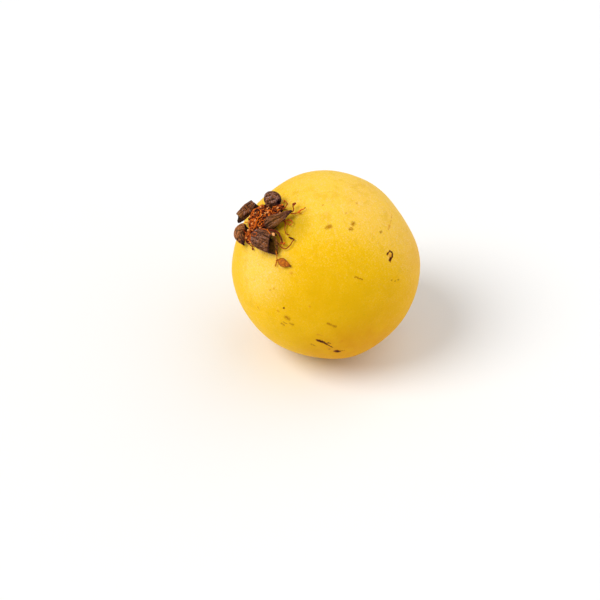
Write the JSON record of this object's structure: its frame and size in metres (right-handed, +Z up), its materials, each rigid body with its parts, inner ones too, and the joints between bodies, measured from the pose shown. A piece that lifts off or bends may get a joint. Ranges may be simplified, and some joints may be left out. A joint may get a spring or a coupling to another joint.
{
  "type": "guava",
  "caption": "Whole ripe yellow guava lying on a small flat spot, with its crown of withered calyx lobes and dried stamens.",
  "frame": {"origin": "centre of the small flat spot that the fruit lies on, on the surface", "axes": "+Z up out of the surface; the crown leans from +Z towards -X, and the stem scar faces down towards +X"},
  "size_m": [0.0621, 0.062, 0.0623],
  "materials": {
    "skin": "satin yellow fruit skin with fine pale speckle",
    "dry_lobe": "matt, wrinkled, dried brown sepal",
    "dry_stamen": "matt, rust-orange dried stamen",
    "dry_style": "matt, dark red dried style",
    "dry_bract": "matt, orange-brown dried leaflet"
  },
  "bodies": {
    "root": {"fruit": "skin", "calyx_lobe_top": "dry_lobe", "calyx_lobe_upper_left": "dry_lobe", "calyx_lobe_lower_left": "dry_lobe", "calyx_lobe_lower": "dry_lobe", "calyx_lobe_horn": "dry_lobe", "stamen_tuft": "dry_stamen", "stamen_upper_hook": "dry_stamen", "stamen_upper_straight": "dry_stamen", "stamen_forked": "dry_stamen", "stamen_curl": "dry_stamen", "stamen_hook": "dry_stamen", "stamen_long_bent": "dry_stamen", "stamen_lower_left": "dry_stamen", "style": "dry_style", "bract": "dry_bract"}
  },
  "joints": []
}
